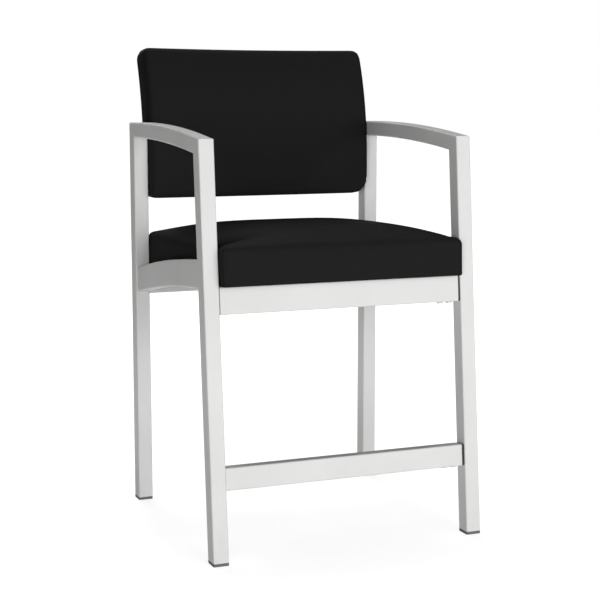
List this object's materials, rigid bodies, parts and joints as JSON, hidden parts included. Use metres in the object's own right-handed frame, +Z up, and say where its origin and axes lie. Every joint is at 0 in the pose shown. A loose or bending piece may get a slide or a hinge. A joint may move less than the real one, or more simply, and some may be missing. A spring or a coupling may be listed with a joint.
{
  "type": "hip chair",
  "caption": "High-seat hip chair with a rectangular-tube frame, arched armrests, a foot rail across the front legs, and a padded vinyl seat and back.",
  "frame": {"origin": "centre of the bounding box's base, on the floor", "axes": "+X towards the viewer's right when facing the chair, -Y towards the front, +Z up"},
  "size_m": [0.584, 0.6098, 1.0005],
  "materials": {
    "frame_paint": "satin silver-grey powder coat",
    "bare_steel": "mill finish",
    "black_plastic": "moulded, matt",
    "zinc_steel": "zinc plated",
    "grey_plastic": "moulded, matt",
    "plywood": "sanded birch ply",
    "foam": "open-cell seating foam",
    "vinyl": "black vinyl with a fine grain",
    "dust_cloth": "black non-woven cloth"
  },
  "bodies": {
    "root": {"left_front_leg": "frame_paint", "right_front_leg": "frame_paint", "left_rear_leg": "frame_paint", "right_rear_leg": "frame_paint", "left_armrest": "frame_paint", "right_armrest": "frame_paint", "left_side_rail": "frame_paint", "right_side_rail": "frame_paint", "front_rail": "frame_paint", "rear_rail": "frame_paint", "foot_rail": "frame_paint", "front_rail_sleeve": "bare_steel", "rear_rail_sleeve": "bare_steel", "foot_rail_sleeve": "bare_steel", "front_rail_spacer": "black_plastic", "rear_rail_spacer": "black_plastic", "foot_rail_spacer": "black_plastic", "rail_screws": "zinc_steel", "left_front_glide": "grey_plastic", "right_front_glide": "grey_plastic", "left_rear_glide": "grey_plastic", "right_rear_glide": "grey_plastic", "front_seat_tabs": "frame_paint", "rear_seat_tabs": "frame_paint", "seat_board": "plywood", "seat_foam": "foam", "seat_cover": "vinyl", "seat_dust_cover": "dust_cloth", "seat_bolts": "zinc_steel", "seat_insert_nuts": "zinc_steel", "left_back_bracket": "frame_paint", "right_back_bracket": "frame_paint", "back_board": "plywood", "back_foam": "foam", "back_cover": "vinyl", "back_rear_panel": "vinyl", "back_bolts": "zinc_steel", "back_insert_nuts": "zinc_steel", "panel_clips": "black_plastic"}
  },
  "joints": []
}
